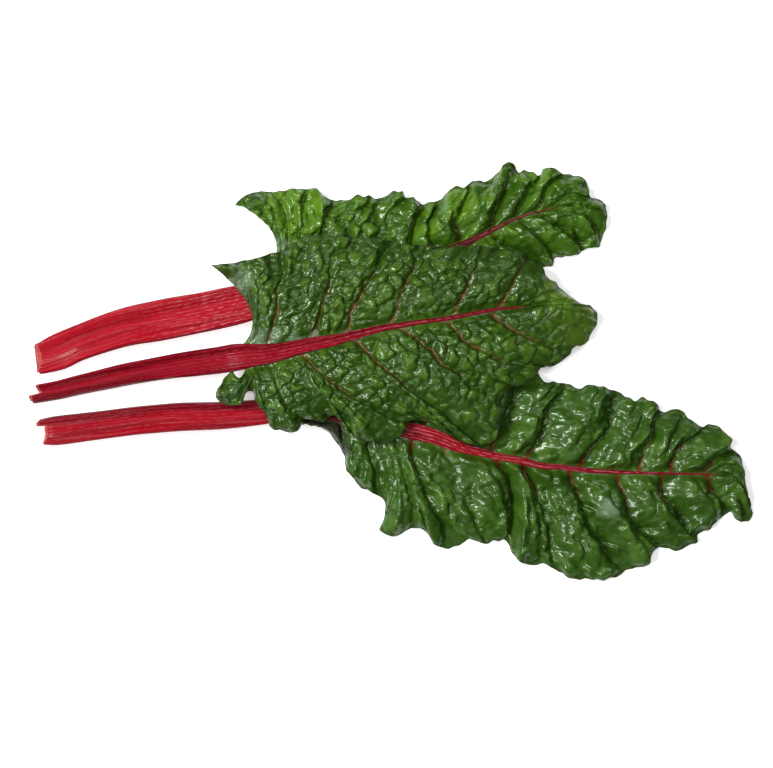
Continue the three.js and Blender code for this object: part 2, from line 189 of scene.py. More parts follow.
MIDDLE = {
    "cut": [(-1, -1.8), (-0.14, -2.7), (0, 3.7), (1, 3)],
    "stalk": [
        (-213.5, -14, 0, 11.5, 8), (-199, -11.5, 0, 11.5, 8.5), (-187, -8.5, 0, 12, 9),
        (-175, -5.8, 0, 12.8, 9), (-151, -0.8, 0, 13.9, 9.5), (-127, 3.2, 0.5, 14.9, 9.5),
        (-103, 6.5, 2, 16, 9.5), (-91, 8.5, 4, 16, 9.5), (-74, 10, 7, 12, 9), (-55, 14, 10, 9, 8),
        (-43, 16.5, 11.5, 8, 7), (-31, 19, 12.5, 6.5, 6), (-19, 22, 13.5, 5, 5), (-7, 25, 14.2, 4, 4.3),
        (5, 27, 14.6, 3.3, 3.8), (17, 29, 14.8, 3, 3.4), (29, 30.5, 14.8, 2.7, 3),
        (41, 32.5, 14.6, 2.5, 2.8), (53, 35, 14, 2.3, 2.4), (65, 37, 13.2, 1.8, 2),
        (81.5, 38, 12, 1, 1.4),
    ],
    "far": [
        (-87.5, (-84.2, 37), (-107, 62.5), [(-98, 64)], 16, 0),
        (-81, (-77, 44), (-87, 66), [(-76, 68.5)], 16, 0),
        (-74, (-66.5, 41.5), (-65.5, 71), [(-59, 75), (-52, 79), (-40, 80.5)], 15, 1),
        (-47.5, (-38, 47.5), (-26.5, 80), [(-19, 79), (-9.5, 78.5)], 15, 1),
        (-26.5, (-16.5, 48.5), (-0.5, 77.5), [(7.5, 75.5)], 14.5, 1),
        (-0.5, (8, 51.5), (17.5, 74.5), [(26.5, 74.5), (36.5, 74), (46.5, 74.5)], 14.5, 1),
        (36.5, (45.5, 54), (56, 74), [(63.5, 73), (71, 71.5), (77.5, 70.5)], 14, 1),
        (64, (73.5, 53.5), (83.5, 67), [(88.5, 63), (92, 57.5), (96.5, 53.5)], 14, 1),
        (74, (89.5, 45), (102.5, 48.5), [(108.5, 43)], 10, 0.5),
        (78.5, (98, 41), (113, 40.5), [(119, 39), (122.5, 36)], 7, 0.5),
        (81.5, (103.5, 38), (124, 30.5), [], 5, 0),
    ],
    "near": [
        (-87.2, (-90.2, -4), (-94, 0.3),
            [(-97.2, -1.6), (-100.8, -6.3), (-103.9, -11.5), (-104, -17)], 15, 0),
        (-83.6, (-87, -10.2), (-97.6, -20.2), [(-90.5, -20.2), (-88.4, -18.4), (-87.4, -14.6)], 14, 0),
        (-79.8, (-82.4, -5.4), (-85, -11.6), [(-83, -12), (-81.8, -15.5), (-80, -20)], 14, 0),
        (-77.5, (-76.5, -12), (-75, -25),
            [(-72.5, -32.5), (-67, -35.5), (-59.5, -36.5), (-54.5, -33.5)], 14, 0.5),
        (-74, (-64, -14), (-52, -29.5), [(-46, -29.5), (-40, -30.5), (-37, -28.5)], 14, 0.3),
        (-63.5, (-47, -9), (-34.2, -27),
            [(-30.5, -29.5), (-26.5, -35.5), (-20.5, -40), (-12.5, -42), (-1, -42), (6.5, -39)], 14, 0),
        (-54.5, (-26.5, -13), (9.5, -31), [(14.5, -29.5), (24.5, -31)], 14, 1),
        (-38, (-1, -8.5), (32, -36), [(40, -41.5), (47, -44)], 14, 0),
        (-23, (12.5, -11), (54.5, -45), [(60.5, -42), (64, -36), (65, -27)], 14, 1),
        (5.5, (35, 1), (65, -17), [(69.5, -11), (77, -8.5), (84.5, -5)], 14, 1),
        (32.5, (56.5, 9), (88, 1), [(90.5, 2.5), (95, 2.5), (101, 6), (106, 10)], 13, 1),
        (58, (83, 19), (110.5, 15), [(115, 16), (119, 21.5), (122.5, 26)], 8, 1),
        (81.5, (103.5, 38), (124, 30.5), [], 5, 0),
    ],
}
LOWER = {
    "cut": [(-1, 1.1), (-0.74, 1), (-0.56, 2.4), (0.42, 3.1), (0.46, -1.9), (0.88, -1.1), (1, 2)],
    "stalk": [
        (-209.5, -36.4, 0, 16.2, 8), (-199, -35.3, 0, 17.8, 9), (-175, -32.3, 0, 17.4, 9.5),
        (-151, -29.3, 0, 17.4, 10), (-127, -27.3, 0, 17.4, 10), (-103, -26.5, 0, 17, 9.5),
        (-79, -24.5, 0, 15.5, 9), (-55, -22, 0, 14, 8.5), (-31, -24, 0, 12.5, 8), (-7, -30, 0, 11.5, 8),
        (8, -35, 0, 10, 7.5), (17, -37, 0, 10, 7.2), (29, -40.5, 0, 9, 6.8), (41, -45.5, 0.3, 7, 6.2),
        (53, -48.5, 0.6, 5.5, 5.6), (65, -51.5, 1, 4.5, 5), (77, -53.5, 1.5, 4.5, 4.6),
        (89, -56.5, 2, 4, 4.2), (101, -57.5, 2.2, 3.6, 3.8), (113, -59, 2.4, 3.3, 3.4),
        (125, -60, 2.6, 2.8, 3), (149, -61, 2.8, 1.9, 2.4), (173, -61.5, 3, 1.4, 1.8),
        (196, -62, 3, 1, 1.2),
    ],
    "far": [
        (-28, (-28, -14.5), (-25, -8), [(-16, -5.5)], 5, 0),
        (-7, (-2, -15), (2, -3.5), [(12.5, -2)], 3, 0.6),
        (17, (22, -18.5), (28, -0.5), [(40, 0)], 2, 1),
        (38, (46, -23.5), (54.5, 0.5), [(68, 0)], 2, 1),
        (57.5, (70.5, -29.5), (82.5, -0.5), [(87.5, 0), (89.5, -4), (92.5, -7.5), (98, -6.5)], 2, 1),
        (80, (91.5, -32), (103, -8), [(107.5, -8), (113, -10), (119, -8.5), (126.5, -9)], 3, 1),
        (111.5, (127.5, -36.5), (137, -14),
            [(142, -15.5), (145.5, -17.5), (150.5, -15.5), (155, -17.5), (159.5, -20)], 2, 1),
        (147.5, (155, -44), (161.5, -24), [(168.5, -23), (174.5, -24.5), (179.5, -29.5)], 3, 1),
        (167, (173.5, -45), (185, -34),
            [(190.5, -32.5), (196, -34), (201.5, -38.5), (203.5, -43)], 2, 1),
        (186, (195.5, -52.5), (205, -47.5), [(209.5, -51), (211, -57)], 3, 0.8),
        (191.5, (203, -55.5), (211.5, -63.5), [(212.5, -69), (214, -76)], 2, 0.5),
        (196, (208, -67), (216.5, -84.5), [], 1.2, 0),
    ],
    "near": [
        (-54, (-54, -30.5), (-54, -31.5), [(-48.5, -32.3)], 6, 0),
        (-44, (-43.3, -31.8), (-42.5, -33.8), [(-37.5, -37), (-33, -42.5)], 6, 0),
        (-31.5, (-29, -39.5), (-28.5, -51), [(-27.5, -57), (-24.5, -63.5), (-18, -69.5)], 3, 0.4),
        (-13, (-11.5, -55), (-8.5, -74), [(-4.8, -77.3)], 2, 0.5),
        (-9, (-2.5, -57), (-3.7, -82), [(-4.8, -89)], 2, 0),
        (-5, (3, -66), (-7, -95), [(-3.5, -98.5), (2.5, -99), (8, -97)], 2, 0),
        (2, (9, -67), (12.5, -94),
            [(17.5, -94.5), (22, -98), (25.5, -104), (30.5, -106.5), (35, -106)], 2, 0.6),
        (13, (19, -70), (40, -104.5), [(44.5, -101.5), (50.5, -102)], 3, 1),
        (32, (43.5, -77.5), (56, -103.5), [(62, -102), (67, -101)], 2, 0.5),
        (62, (71, -75), (70, -104), [(73, -109), (77.5, -113.5), (85.5, -116)], 3, 1),
        (77.5, (88.5, -80), (94, -116),
            [(101, -121), (107.5, -124.5), (117.5, -125), (126.5, -125.5), (134.5, -122.5)], 2, 1),
        (106.5, (118, -89), (142.5, -119), [(149, -118), (154, -115), (157, -109)], 3, 1),
        (135.5, (147, -89), (160.5, -105.5),
            [(166, -106.5), (170.5, -107.5), (177.5, -105), (182, -103)], 2, 1),
        (161, (169.5, -82.5), (184, -98.5), [(188.5, -95.5), (194.5, -91), (199.5, -86.5)], 3, 1),
        (188, (197, -74), (203.5, -85), [(206, -89), (210.5, -90), (214, -90.5), (215.5, -88)], 2, 1),
        (196, (208, -67), (216.5, -84.5), [], 1.2, 0),
    ],
}
LEAVES = {"upper": UPPER, "middle": MIDDLE, "lower": LOWER}
for leaf_name, leaf in LEAVES.items():
    print(leaf_name, "leaf:", len(leaf["stalk"]), "stations,", len(leaf["far"] + leaf["near"]), "veins")

# %% [markdown]
# ## Growing smooth shapes from few points
# A smooth curve through the written points is all that the outline needs. The natural wander of
# a leaf comes from two seeded fields: a soft noise for slow waves, and a field of cells, each
# with its own middle, whose borders become the small sunken veins between blisters.

# %% Curves and fields
NOISE_FIELD = 64
CELL_FIELD = 128
CELL_SHIFT = (0.12, 0.88)
def smooth_through(points, places):
    """The curve through the points, read at places, where place 2.5 is halfway from 2 to 3."""
    points = np.asarray(points, float)
    padded = np.vstack([2 * points[0] - points[1], points, 2 * points[-1] - points[-2]])
    start = np.clip(np.floor(places).astype(int), 0, len(points) - 2)
    t = (places - start)[:, None]
    p0, p1, p2, p3 = (padded[start + i] for i in range(4))
    slope1 = (p2 - p0) / 2
    slope2 = (p3 - p1) / 2
    return ((2 * t**3 - 3 * t**2 + 1) * p1 + (t**3 - 2 * t**2 + t) * slope1
            + (3 * t**2 - 2 * t**3) * p2 + (t**3 - t**2) * slope2)


def smooth_step(value, low, high):
    t = np.clip((value - low) / (high - low), 0, 1)
    return t * t * (3 - 2 * t)


def soft_noise(x, y, seed):
    """Seeded noise from -1 to 1 that changes over about one unit."""
    field = np.random.default_rng(seed).uniform(-1, 1, (NOISE_FIELD, NOISE_FIELD))
    ix, iy = np.floor(x).astype(int), np.floor(y).astype(int)
    fx = smooth_step(x - ix, 0, 1)
    fy = smooth_step(y - iy, 0, 1)
    left, right = ix % NOISE_FIELD, (ix + 1) % NOISE_FIELD
    low, high = iy % NOISE_FIELD, (iy + 1) % NOISE_FIELD
    on_low = field[left, low] * (1 - fx) + field[right, low] * fx
    on_high = field[left, high] * (1 - fx) + field[right, high] * fx
    return on_low * (1 - fy) + on_high * fy


def cells(x, y, seed):
    """Distance to the nearest cell border, in cell sizes, and a number from 0 to 1 for each cell."""
    rng = np.random.default_rng(seed)
    shift_x, shift_y = rng.uniform(*CELL_SHIFT, (2, CELL_FIELD, CELL_FIELD))
    worth = rng.uniform(0, 1, (CELL_FIELD, CELL_FIELD))
    ix, iy = np.floor(x).astype(int), np.floor(y).astype(int)
    near, second = np.full(x.shape, np.inf), np.full(x.shape, np.inf)
    value = np.zeros(x.shape)
    for dx in (-1, 0, 1):
        for dy in (-1, 0, 1):
            jx, jy = ix + dx, iy + dy
            cell = (jx % CELL_FIELD, jy % CELL_FIELD)
            distance = np.hypot(x - (jx + shift_x[cell]), y - (jy + shift_y[cell]))
            closer = distance < near
            second = np.where(closer, near, np.minimum(second, distance))
            value = np.where(closer, worth[cell], value)
            near = np.minimum(near, distance)
    return second - near, value


print("curve and field helpers ready")

# %% [markdown]
# ## The stalks
# A chard stalk is a firm gutter: flat and channelled above, rounded and ribbed below, wide at the
# cut end and thinning all the way into the midrib. It could be a bevelled curve, but that keeps
# one section. A grid rolled into a tube lets the section widen, sink and rib as it goes, and the
# same stations that placed the frame's stalk place this one.

# %% Stalk sections
# Half a section, from the middle of the top round to the underside: across and up, as shares.
STALK_SECTION = [
    (0, 0.8), (0.42, 0.85), (0.8, 1), (1, 0.82), (0.93, 0.45), (0.68, 0.2), (0.36, 0.05), (0.14, 0),
]
STALK_RINGS = 300
STALK_SIDES = 150
DIRECTION_STEP = 0.2


def station_at(stations, x):
    """Middle, side direction, width and thickness of a stalk at each x."""
    table = np.array(stations, float)
    place = np.interp(x, table[:, 0], np.arange(len(table)))
    point = smooth_through(table, place)
    ahead = smooth_through(table, np.clip(place + DIRECTION_STEP, 0, len(table) - 1))
    behind = smooth_through(table, np.clip(place - DIRECTION_STEP, 0, len(table) - 1))
    along = ahead[:, :2] - behind[:, :2]
    along /= np.linalg.norm(along, axis=1)[:, None]
    side = np.stack([-along[:, 1], along[:, 0]], axis=1)
    return point[:, :3], along, side, point[:, 3], point[:, 4]


def stalk_section(turn):
    """The section at each turn, 0 to 1: across in half widths and up in thicknesses."""
    half = np.array(STALK_SECTION)
    ring = np.vstack([half, half[:0:-1] * (-1, 1)])
    closed = np.vstack([ring, ring[:2]])
    return smooth_through(closed, 1 + turn * len(ring))


print("section points:", 2 * len(STALK_SECTION) - 1)

# %% Stalk looks
# Ribs: x and strength. Flutes: place across, height, half width, first and last x.
# Band: a sunken strip beyond an edge given as x and place across, on one side of it, painted
# dark as painted shade.
# Midrib: from where to where the stalk's colour turns into the midrib's.
# Dull: first and last x of a stretch that lies in the shade of a blade, painted dark as painted shade.
STALK_LOOKS = {
    "upper": {
        "ribs": [(-211, 0.3), (-150, 0.4), (-108, 1.6), (-60, 1.4), (60, 0.8)],
        "flutes": [(0.1, -1.3, 0.55, -215, -105), (-0.55, 0.7, 0.06, -215, -150),
                   (-0.72, -0.6, 0.06, -215, -140)],
        "shaded_band": None, "midrib": (-30, 45), "dull": None,
    },
    "middle": {
        "ribs": [(-213, 0.4), (-130, 0.5), (-105, 1.1), (-40, 1.3), (-12, 3), (25, 3), (50, 1.2), (80, 1)],
        "flutes": [(0.3, -0.9, 0.4, -215, -60)],
        "shaded_band": {"side": -1, "drop": 1.5,
                 "edge": [(-213, -0.1), (-181, -0.38), (-148, -0.66), (-115, -1.1)]},
        "midrib": (-50, 40), "dull": None,
    },
    "lower": {
        "ribs": [(-209, 0.25), (-70, 0.4), (0, 1.6), (60, 1.6), (190, 1)],
        "flutes": [(-0.3, -0.7, 0.35, -212, -60)],
        "shaded_band": {"side": 1, "drop": 1.3, "edge": [(-210, 0.46), (-134, 0.5), (-102, 0.32), (-60, 0.05)]},
        "midrib": (50, 120), "dull": (-50, -26),
    },
}
print("stalk looks:", ", ".join(STALK_LOOKS))

# %% Stalk surface
# Lengths are in mm. Underside shift: it keeps the ribs below different from those on top.
RIB_HEIGHT = 0.32
RIB_SPACING = 2.1
SWELL_HEIGHT = 0.16
UNDERSIDE_SHIFT = 40
FLUTE_FADE = 45
BAND_END = (-75, -55)
JAG_HEIGHT = 0.5
CUT_REACH = 13
CUT_COLOUR_REACH = 0.7
PAINTED_SHADE_STRENGTH = 1.8
DULL_FADE = 4


def stalk_surface(leaf_name, flat, seed):
    """Where the points of a flat unit grid lie on the stalk, in mm, and the numbers its colours need."""
    stations = LEAVES[leaf_name]["stalk"]
    look = STALK_LOOKS[leaf_name]
    start, end = stations[0][0], stations[-1][0]
    x = start + (end - start) * flat[:, 0]
    turn = np.where(flat[:, 1] > 0.9999, 0.0, flat[:, 1])
    middle, along, side, width, thickness = station_at(stations, x)
    section = stalk_section(turn)
    across, up = -section[:, 0], section[:, 1]
    across_mm = across * width / 2
    girth = across_mm + np.where(up < 0.5, UNDERSIDE_SHIFT, 0)
    on_top = smooth_step(up, 0.5, 0.75)
    # Fine ribs, slow swellings, the flutes and the sunken band.
    ribs = np.sin(2 * np.pi * (girth + 1.2 * soft_noise(girth / 5, x / 45, seed)) / RIB_SPACING)
    rib_strength = np.interp(x, *zip(*look["ribs"]))
    rib_strength *= 0.75 + 0.35 * soft_noise(girth / 3, x / 60, seed + 1)
    swell = RIB_HEIGHT * ribs * rib_strength + SWELL_HEIGHT * soft_noise(x / 14, turn * 6, seed + 2)
    swell *= smooth_step(width, 1, 12)
    for place, height, reach, first, last in look["flutes"]:
        fade = smooth_step(x, first - 1, first + 1) * (1 - smooth_step(x, last - FLUTE_FADE, last))
        swell += height * np.exp(-((across - place) / reach) ** 2) * fade * on_top
    shaded_band = 0 * x
    if look["shaded_band"]:
        beyond = look["shaded_band"]["side"] * (across - np.interp(x, *zip(*look["shaded_band"]["edge"])))
        # The band is also painted darker in colour, as painted shade.
        shaded_band = smooth_step(beyond, 0, 0.09) * on_top * (1 - smooth_step(x, *BAND_END))
        swell -= look["shaded_band"]["drop"] * shaded_band
    # The slanting, jagged cut.
    jag = np.interp(across, *zip(*LEAVES[leaf_name]["cut"]))
    jag += JAG_HEIGHT * soft_noise(turn * 30, turn * 0, seed + 3)
    jag *= 1 - smooth_step(x - start, 0, CUT_REACH)
    place = middle[:, :2] + side * (across_mm + swell * across * 0.6)[:, None] + along * jag[:, None]
    height = middle[:, 2] + up * thickness + swell * (up - 0.5) * 1.4
    edge = smooth_step(np.abs(across), 0.86, 1)
    # The stretch in a blade's shade is painted with the edge's purple: painted shade.
    if look["dull"]:
        first, last = look["dull"]
        shade = smooth_step(x, first - DULL_FADE, first) * (1 - smooth_step(x, last, last + DULL_FADE))
        edge = np.maximum(edge, PAINTED_SHADE_STRENGTH * shade)
    numbers = {
        "across": across_mm / 10, "along": (x - start) / 100, "top": up, "shaded_band": shaded_band,
        "cut": 1 - smooth_step(x - start, 0.0, CUT_COLOUR_REACH), "edge": edge,
        # Rib: the crests of the ribs on top, which get painted highlights.
        "rib_crest_highlight": (0.5 + 0.5 * ribs) ** 2 * rib_strength * on_top, "midrib": smooth_step(x, *look["midrib"]),
    }
    return np.column_stack([place, np.maximum(height, 0.0)]), numbers


print("stalk surface ready")

# %% Stalk builder
WELD = 1e-6
CUT_RIM = 0.7 * MM
CUT_STEPS = (-0.3 * MM, -0.5 * MM)
NEAR_CUT = 20


def finish_object(leaf_name, part, mesh, material):
    node = f"{leaf_name}_leaf_{part}"
    slot = f"{leaf_name}_{part}"
    mesh.polygons.foreach_set("use_smooth", np.ones(len(mesh.polygons), bool))
    mesh.materials.append(material)
    piece = bpy.data.objects.new(slot, mesh)
    bpy.context.scene.collection.objects.link(piece)
    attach(piece, "root")
    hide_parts(node)
    return piece


def make_stalk(leaf_name, material, seed):
    bm = bmesh.new()
    bmesh.ops.create_grid(bm, x_segments=STALK_RINGS, y_segments=STALK_SIDES, size=0.5)
    flat = np.array([v.co[:2] for v in bm.verts]) + 0.5
    points, numbers = stalk_surface(leaf_name, flat, seed)
    for vert, point in zip(bm.verts, points * MM):
        vert.co = point
    for name, values in numbers.items():
        layer = bm.verts.layers.float.new(name)
        for vert, value in zip(bm.verts, values):
            vert[layer] = value
    bmesh.ops.remove_doubles(bm, verts=bm.verts, dist=WELD)
    # Both ends are closed, and the cut end sinks a little inside its rim.
    rims = bmesh.ops.holes_fill(bm, edges=[e for e in bm.edges if e.is_boundary], sides=0)["faces"]
    cut_end = (LEAVES[leaf_name]["stalk"][0][0] + NEAR_CUT) * MM
    cut = [face for face in rims if face.calc_center_median().x < cut_end]
    for depth in CUT_STEPS:
        bmesh.ops.inset_region(bm, faces=cut, thickness=CUT_RIM, depth=depth)
    bmesh.ops.triangulate(bm, faces=rims)
    bmesh.ops.recalc_face_normals(bm, faces=bm.faces)
    mesh = bpy.data.meshes.new(f"{leaf_name}_stalk")
    bm.to_mesh(mesh)
    bm.free()
    piece = finish_object(leaf_name, "stalk", mesh, material)
    print(piece.name, "faces:", len(mesh.polygons))


# %% [markdown]
# ## The blades
# A blade is one sheet that runs round the midrib: up one side, round the tip and back. A grid is
# laid into it, its columns along the side veins and its rows from the midrib to the margin, and
# its points are then lifted as the leaf grew. Between two side veins the tissue grows faster than
# the veins let it, so it stands up in a ridge and breaks into blisters, and the margin, which
# grows fastest, ruffles. Displacing a smooth sheet with a picture could not follow the veins.

# %% Blade layout
# Root overlap: how far the blade runs into its stalk, in mm. Last span: the share of the last
# gap between veins in which the root moves to the end of the midrib, and tip reach past it.
COLUMNS = 500
ROWS = 90
FINE_STEPS = 4000
LEAST_PACE = 0.02
ROOT_OVERLAP = 0.5
LAST_SPAN = 0.35
TIP_REACH = 4.0
EDGE_HEIGHT = 0.82


def lay_half(leaf, half, hand):
    """One blade half, with its pace measured so that columns can be spread evenly over it."""
    veins = leaf[half]
    places, margin = [], []
    for vein in veins:
        places.append(len(margin))
        margin += [vein[2], *vein[3]]
    fine = np.linspace(0, len(veins) - 1, FINE_STEPS)
    middles = smooth_through([vein[1] for vein in veins], fine)
    edges = smooth_through(margin, np.interp(fine, np.arange(len(veins)), places))
    pace = np.hypot(*np.diff(middles, axis=0).T) + np.hypot(*np.diff(edges, axis=0).T) + LEAST_PACE
    walked = np.concatenate([[0], np.cumsum(pace)])
    return {"leaf": leaf, "veins": veins, "places": places, "margin": margin, "hand": hand,
            "fine": fine, "walked": walked}


def read_half(half, count):
    """The half's columns: vein number, inner end and its height, middle, outer end and its height."""
    number = np.interp(np.linspace(0, half["walked"][-1], count), half["walked"], half["fine"])
    veins = half["veins"]
    order = np.arange(len(veins))
    x = np.interp(number, order, [vein[0] for vein in veins])
    point, along, side, width, thickness = station_at(half["leaf"]["stalk"], x)
    last = smooth_step(number, len(veins) - 1 - LAST_SPAN, len(veins) - 1)[:, None]
    beside = half["hand"] * (width / 2 - ROOT_OVERLAP).clip(0)
    inner = point[:, :2] + side * beside[:, None] * (1 - last)
    inner = inner + along * last * TIP_REACH
    middle = smooth_through([vein[1] for vein in veins], number)
    edge = smooth_through(half["margin"], np.interp(number, order, half["places"]))
    lift = np.interp(number, order, [vein[4] for vein in veins])
    return number, inner, point[:, 2] + EDGE_HEIGHT * thickness, middle, edge, lift


def blade_columns(leaf_name):
    """Both halves joined in one run of columns: out along the far half and back along the near one."""
    far = lay_half(LEAVES[leaf_name], "far", 1)
    near = lay_half(LEAVES[leaf_name], "near", -1)
    share = far["walked"][-1] / (far["walked"][-1] + near["walked"][-1])
    far_count = round((COLUMNS + 2) * share)
    out = read_half(far, far_count)
    back = read_half(near, COLUMNS + 2 - far_count)
    joined = [np.concatenate([a, b[::-1][1:]]) for a, b in zip(out, back)]
    is_near = np.arange(len(joined[0])) >= far_count
    return joined, is_near


print("blade layout helpers ready")

# %% Relief of a leaf
LEAF_NAMES = ("upper", "middle", "lower")


def by_leaf(table):
    """Rows with a value for each leaf, turned into a dictionary for each leaf."""
    return {leaf: {key: row[i] for key, row in table.items()} for i, leaf in enumerate(LEAF_NAMES)}


# For the upper, middle and lower leaf. Heights and lengths are in mm.
LOOKS = by_leaf({
    "crown": (3.0, 4.2, 2.6),  # how high each half arches
    "ridge": (5.6, 1.5, 7.4),  # how high the blade stands between two side veins
    "skew": (1.25, 1.1, 1.3),  # how far off the middle its crest is
    "roundness": (0.9, 0.8, 1.0),
    "wander": (0.22, 0.12, 0.15),  # how far a ridge strays, in veins
    # Vein number, and how many veins its ridge slants by.
    "slant": ([(0, 0.3), (3, 1.2), (5, 1.7), (8, 1.5), (10, 0.3), (14, 0)], [(0, 0)], [(0, 0)]),
    "groove": (0.7, 0.5, 0.65),  # depth of the line along a side vein
    "crease": (1.2, 0.5, 1.8),  # depth of the line between two
    "folds": ((8.5, 11), (9.0, 12), (7.0, 24)),  # spacing and length of the wrinkles
    "wrinkle": (3.0, 1.0, 4.0),  # their height
    "scallop": (1.0, 0.9, 1.1),  # how far the margin is notched
    "grain": ((62, -40), (62, -40), (58, -58)),  # direction of the blisters on each half, in degrees
    "cell": ((8.0, 13.0), (8.0, 8.5), (9.0, 18.0)),  # width and length of a blister
    "blister": (1.8, 2.2, 1.3),  # its height
    "soft": (0.75, 0.65, 0.9),  # over what share of it its side rises
    # Net also sets how dark the lines between blisters are painted, as painted shade.
    "net": (0.35, 0.22, 0.15),  # how far the lines between blisters show
    "small_cell": (4.4, 3.6, 5.0),
    "small_blister": (0.5, 1.0, 0.45),
    "smooth_from": ((300, 301), (35, 85), (300, 301)),  # x between which the blisters die down
    "lump": (0.22, 0.38, 0.2),  # the finest unevenness
    "ruffle": (2.2, 1.8, 2.4),  # height of the margin's waves
    "wave": (27, 23, 31),  # their length
    "frill": (0.8, 0.7, 0.8),  # the margin's crinkle
    "curl": (1.4, 1.2, 1.8),  # how far the margin rolls down
    "lean": (0.5, 0.3, 0.5),  # how far a ridge tips over
    "vein_width": (0.5, 0.62, 0.55),  # of the red line along a side vein
    "vein_reach": (12, 40, 20),
})
CREASE_WIDTH = 1.7
MOST_SPANS = 20


def travelled(grid, axis):
    steps = np.linalg.norm(np.diff(grid, axis=axis), axis=2)
    zero = np.zeros_like(np.take(steps, [0], axis=axis))
    return np.concatenate([zero, np.cumsum(steps, axis=axis)], axis=axis)


def dome(border, reach):
    return 1 - (1 - np.clip(border / reach, 0, 1)) ** 2


def valley_at(share, roundness):
    """1 on a vein, 0 on the crest: a narrow valley between round pillows."""
    return np.where(share < 0.5, 1 - np.sin(np.pi * share.clip(0, 0.5)) ** roundness, 0.0)


def near_veins(depths, number, skew, roundness):
    """How deep the blade is sunk, how deep the nearest vein lies and how many veins away it is,
    the vein before each point and how far on to the next the point lies."""
    depths = np.array(depths)
    number = np.clip(number, 0, len(depths) - 1.001)
    whole = np.floor(number).astype(int)
    share = number - whole
    leaned = share ** skew
    sunk = depths[whole] * valley_at(leaned, roundness)
    sunk += depths[whole + 1] * valley_at(1 - leaned, roundness)
    return sunk, depths[np.rint(number).astype(int)], np.minimum(share, 1 - share), whole, share


def creases(whole, share, spacing, v, seed):
    """A shorter crease between two veins, nearer the margin, deep in some spans and missing in others."""
    rng = np.random.default_rng(seed)
    strength = rng.uniform(-0.1, 1.1, 2 * MOST_SPANS).clip(0)
    place = rng.uniform(0.38, 0.62, 2 * MOST_SPANS)
    distance = (share - place[whole] - 0.08 * (v - 0.5)) * spacing
    return strength[whole] * np.exp(-(distance / CREASE_WIDTH) ** 2) * smooth_step(v, 0.2, 0.6)


print("blade looks:", {name: len(look) for name, look in LOOKS.items()})

# %% Folds and coloured places
# A fold: its crest, how far the blade falls away beyond it on the right hand, and over what reach.
FOLDS = {
    "middle": [
        {"crest": [(-106, 63), (-91.5, 60.3), (-85, 57.5), (-81, 51), (-79.5, 42), (-80, 31), (-83, 21)],
         "fall": 4.5, "reach": 6.0},
    ],
}
# A place: x, y and radius. Puffed: blisters take over from ridges. Young: fresher green.
# Pale: a painted silver-green sheen. Dusk: painted shade, nearly black.
PLACES = {
    "upper": {"puffed": [(-60, 97, 34), (-84, 102, 14), (-18, 92, 24)],
              "young": [(-58, 98, 24), (18, 80, 9), (40, 100, 14)], "pale_sheen": [(-66, 74, 7)]},
    "middle": {"young": [(118, 32, 30), (104, 45, 18), (98, 55, 10)],
               "pale_sheen": [(-80, 19.5, 8), (-70, 21, 6), (-58, 19, 5), (-46, 21, 4), (-89, 54, 9)]},
    "lower": {"puffed": [(-10, -68, 34), (26, -72, 26)],
              "painted_shade": [(-45, -33, 12), (-35, -37, 12), (-29, -46, 6)], "pale_sheen": [(128, -82, 8)]},
}


def beyond_fold(plan, fold):
    """0 on the crest and the leaf's side of it, 1 once the fold has fallen all the way."""
    crest = smooth_through(fold["crest"], np.linspace(0, len(fold["crest"]) - 1, 60))
    along = np.gradient(crest, axis=0)
    along /= np.linalg.norm(along, axis=1)[:, None]
    gap = plan[:, :, None, :] - crest
    nearest = np.argmin((gap ** 2).sum(axis=3), axis=2)
    gap = np.take_along_axis(gap, nearest[:, :, None, None], axis=2)[:, :, 0]
    heading = along[nearest]
    outward = heading[:, :, 1] * gap[:, :, 0] - heading[:, :, 0] * gap[:, :, 1]
    straight = np.abs(heading[:, :, 0] * gap[:, :, 0] + heading[:, :, 1] * gap[:, :, 1])
    return smooth_step(outward, 0, fold["reach"]) * (1 - smooth_step(straight, 1, 6))


def within(plan, places):
    inside = np.zeros(plan.shape[:2])
    for x, y, radius in places:
        away = np.hypot(plan[:, :, 0] - x, plan[:, :, 1] - y)
        inside = np.maximum(inside, 1 - smooth_step(away, 0.4 * radius, radius))
    return inside


print("folds:", sum(len(folds) for folds in FOLDS.values()))

# %% Blade surface
LOWEST = 0.75
GROOVE_WIDTH = 1.2
CURL_REACH = 4.5
NOTCH_SPACING = 3.6
FRILL_SPACING = 4.5
WIDEST_SPACING = 60
# The fold's fallen side gets a little painted sheen and more painted shade.
CALM_SHEEN = 0.1
CALM_SHADE = 0.4


